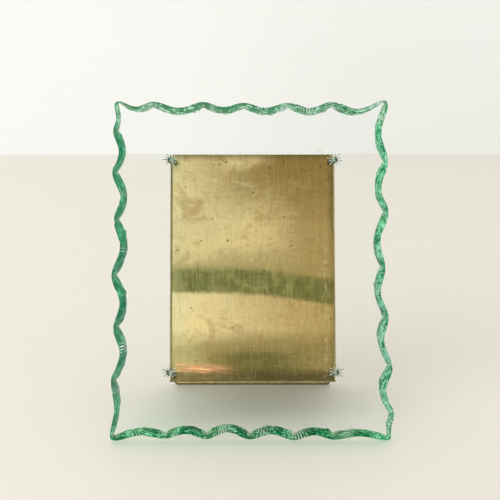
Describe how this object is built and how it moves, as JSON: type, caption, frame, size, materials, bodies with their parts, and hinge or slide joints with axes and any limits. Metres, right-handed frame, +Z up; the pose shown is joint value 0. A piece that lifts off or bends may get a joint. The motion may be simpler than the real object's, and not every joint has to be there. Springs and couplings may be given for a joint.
{
  "type": "crystal picture frame",
  "caption": "Leaning clear crystal slab with a chipped rim, cut stars, a rear brass photograph pocket with a sliding plate, and a hinged folding strut.",
  "frame": {"origin": "on the table, under the middle of the whole frame, centred left to right on the slab and front to back between the slab and the foot of the strut", "axes": "+X to the right seen from the front, the front faces -Y, +Z up"},
  "size_m": [0.222, 0.1304, 0.2453],
  "materials": {
    "crystal": "clear polished crystal with a faint green tint; the chipped rim is glossy, the cut stars are left matte",
    "plate_brass": "aged sheet brass, brushed upright, with olive and pinkish tarnish",
    "frame_brass": "aged sheet brass, half bright on its edges",
    "strut_brass": "aged sheet brass, half bright on the rolled foot",
    "rivet_brass": "dull turned brass",
    "pin_steel": "drawn steel wire, dull",
    "lead": "soft matte grey"
  },
  "bodies": {
    "frame": {"crystal_slab": "crystal", "stud_sleeves": "lead", "fixing_studs": "rivet_brass", "left_rail": "frame_brass", "right_rail": "frame_brass", "bottom_ledge": "frame_brass", "upper_bridge": "frame_brass", "lower_bridge": "frame_brass", "bridge_rivets": "rivet_brass", "hinge_leaf": "frame_brass", "hinge_rivets": "rivet_brass", "hinge_pin": "pin_steel", "stay_guide": "frame_brass", "guide_rivets": "rivet_brass"},
    "plate": {"back_plate": "plate_brass"},
    "strut": {"strut_panel": "strut_brass", "strut_leaf": "strut_brass", "strut_rivets": "rivet_brass", "stay_bracket": "strut_brass", "bracket_rivets": "rivet_brass", "stay_pivot_pin": "pin_steel"},
    "stay": {"stay_arm": "strut_brass", "stay_slide_pin": "pin_steel"}
  },
  "joints": [
    {"name": "plate_slide", "type": "slide", "parent": "frame", "child": "plate", "axis": [0, 0.4305, 0.9026], "range_m": [0, 0.175]},
    {"name": "strut_hinge", "type": "hinge", "parent": "frame", "child": "strut", "pos_m": [0.0006, 0.04022, 0.18732], "axis": [1, 0, 0], "range_deg": [-31.8, 0]},
    {"name": "stay_hinge", "type": "hinge", "parent": "strut", "child": "stay", "pos_m": [0.0006, 0.04791, 0.11773], "axis": [1, 0, 0], "range_deg": [0, 63.6]}
  ],
  "couplings": [
    {"joint": "stay_hinge", "follows": "strut_hinge", "ratio": -2}
  ]
}
